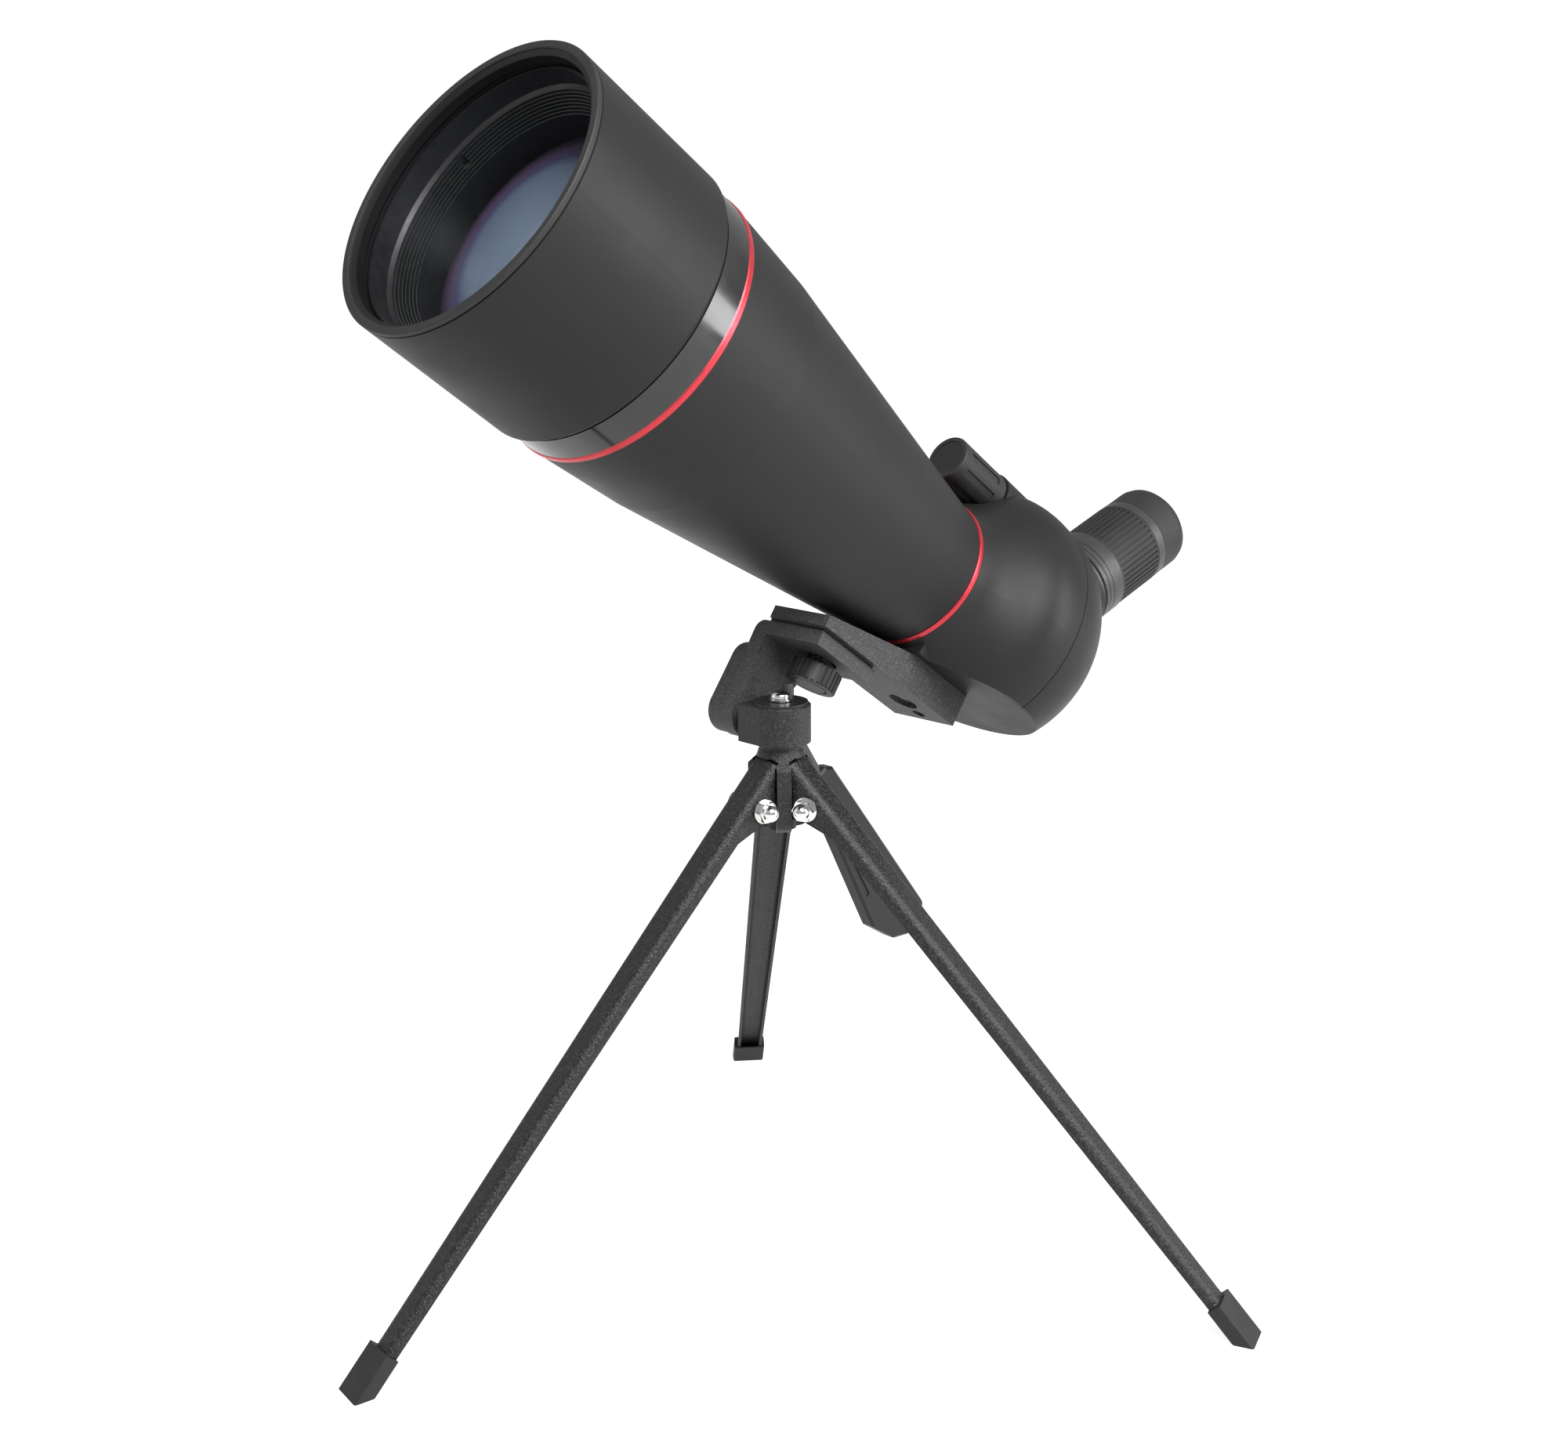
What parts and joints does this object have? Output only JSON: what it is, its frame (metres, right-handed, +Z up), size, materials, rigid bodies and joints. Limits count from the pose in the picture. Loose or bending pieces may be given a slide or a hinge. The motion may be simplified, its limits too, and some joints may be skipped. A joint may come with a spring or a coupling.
{
  "type": "spotting scope",
  "caption": "Angled spotting scope with sliding hood, focus knob and zoom eyepiece, clamped on a low folding table tripod with a pan and tilt head and handle.",
  "frame": {"origin": "centre of the bounding box on the ground plane under the feet", "axes": "+Z up, +Y from the front lens towards the eyepiece, +X across the scope, away from the tilt arm and handle"},
  "size_m": [0.3046, 0.3892, 0.4178],
  "materials": {
    "body_shell": "satin",
    "soft_grip": "matte",
    "inner_black": "matte",
    "dark_anodised": "satin",
    "gloss_collar": "polished",
    "red_anodised": "satin",
    "optical_glass": "coated",
    "powder_coat": "textured",
    "plate_coat": "textured",
    "chrome": "polished",
    "steel": "brushed",
    "handle_plastic": "satin"
  },
  "bodies": {
    "hub": {"tripod_hub": "powder_coat", "pan_screw": "chrome", "pan_washer": "chrome", "hinge_bolts": "steel", "hinge_washers": "chrome", "dome_nuts": "chrome"},
    "pan_head": {"pan_block": "powder_coat", "friction_disc": "inner_black", "stop_pin": "dark_anodised", "tilt_bolt": "dark_anodised"},
    "scope": {"tilt_bracket": "plate_coat", "platform_pad": "soft_grip", "foot_plate": "plate_coat", "plate_screw": "steel", "barrel": "body_shell", "objective_tube": "inner_black", "retaining_ring": "dark_anodised", "crown_lens": "optical_glass", "lens_spacer": "inner_black", "flint_lens": "optical_glass", "name_collar": "gloss_collar", "front_accent_ring": "red_anodised", "baffle_tube": "inner_black", "rear_accent_ring": "red_anodised", "prism_housing": "body_shell", "rear_cover": "body_shell", "prism_holder": "dark_anodised", "roof_prism": "optical_glass", "eyepiece_barrel": "dark_anodised", "eyepiece_base": "dark_anodised", "field_lens": "optical_glass", "eye_lens": "optical_glass", "eye_lens_retainer": "dark_anodised"},
    "hood": {"lens_hood": "body_shell", "hood_edge_ring": "soft_grip"},
    "focus_wheel": {"focus_knob": "soft_grip", "focus_knob_cap": "inner_black", "focus_shaft": "steel"},
    "focus_cell": {"focus_carriage": "dark_anodised", "focus_lens": "optical_glass"},
    "zoom_sleeve": {"zoom_ring": "dark_anodised", "zoom_grip": "soft_grip"},
    "zoom_cell": {"zoom_carriage": "dark_anodised", "zoom_lens": "optical_glass"},
    "eye_guard": {"eyecup": "soft_grip", "eyecup_sleeve": "dark_anodised"},
    "clamp_screw": {"clamp_knob": "handle_plastic", "clamp_stud": "steel"},
    "handle": {"handle_rod": "steel", "handle_grip": "handle_plastic"},
    "leg_left_set": {"leg_left": "powder_coat", "foot_left": "soft_grip"},
    "leg_right_set": {"leg_right": "powder_coat", "foot_right": "soft_grip"},
    "leg_rear_set": {"leg_rear": "powder_coat", "foot_rear": "soft_grip"}
  },
  "joints": [
    {"name": "pan", "type": "hinge", "parent": "hub", "child": "pan_head", "pos_m": [-0.01138, -0.02126, 0.198], "axis": [0, 0, 1], "range_deg": [-60, 0]},
    {"name": "tilt", "type": "hinge", "parent": "pan_head", "child": "scope", "pos_m": [-0.01138, -0.02126, 0.198], "axis": [1, 0, 0], "range_deg": [0, 45]},
    {"name": "hood_slide", "type": "slide", "parent": "scope", "child": "hood", "axis": [0, -0.8141, 0.5807], "range_m": [0, 0.035]},
    {"name": "focus_turn", "type": "hinge", "parent": "scope", "child": "focus_wheel", "pos_m": [-0.01138, 0.07529, 0.27392], "axis": [0, 0.8141, -0.5807], "range_deg": [-360, 360]},
    {"name": "focus_travel", "type": "slide", "parent": "scope", "child": "focus_cell", "axis": [0, 0.8141, -0.5807], "range_m": [-0.00398, 0.00398]},
    {"name": "zoom_turn", "type": "hinge", "parent": "scope", "child": "zoom_sleeve", "pos_m": [-0.01138, 0.14862, 0.22929], "axis": [0, 0.9426, 0.3338], "range_deg": [-60, 60]},
    {"name": "zoom_travel", "type": "slide", "parent": "scope", "child": "zoom_cell", "axis": [0, 0.9426, 0.3338], "range_m": [-0.0062, 0.0062]},
    {"name": "eyecup_slide", "type": "slide", "parent": "scope", "child": "eye_guard", "axis": [0, 0.9426, 0.3338], "range_m": [0, 0.0045]},
    {"name": "clamp_turn", "type": "hinge", "parent": "scope", "child": "clamp_screw", "pos_m": [-0.01338, -0.00064, 0.21397], "axis": [0, 0.5807, 0.8141], "range_deg": [0, 360]},
    {"name": "handle_turn", "type": "hinge", "parent": "scope", "child": "handle", "pos_m": [-0.02988, -0.00776, 0.202], "axis": [0, 0.5446, -0.8387], "range_deg": [0, 90]},
    {"name": "leg_left_fold", "type": "hinge", "parent": "hub", "child": "leg_left_set", "pos_m": [-0.01312, -0.03364, 0.1693], "axis": [0.9903, -0.1392, 0], "range_deg": [0, 40]},
    {"name": "leg_right_fold", "type": "hinge", "parent": "hub", "child": "leg_right_set", "pos_m": [0.00021, -0.01658, 0.1693], "axis": [-0.3746, 0.9272, 0], "range_deg": [0, 40]},
    {"name": "leg_rear_fold", "type": "hinge", "parent": "hub", "child": "leg_rear_set", "pos_m": [-0.02123, -0.01357, 0.1693], "axis": [-0.6157, -0.788, 0], "range_deg": [0, 40]}
  ],
  "couplings": [
    {"joint": "focus_turn", "follows": "focus_travel", "rad_per_m": 1570.8},
    {"joint": "zoom_travel", "follows": "zoom_turn", "m_per_rad": 0.00573}
  ]
}
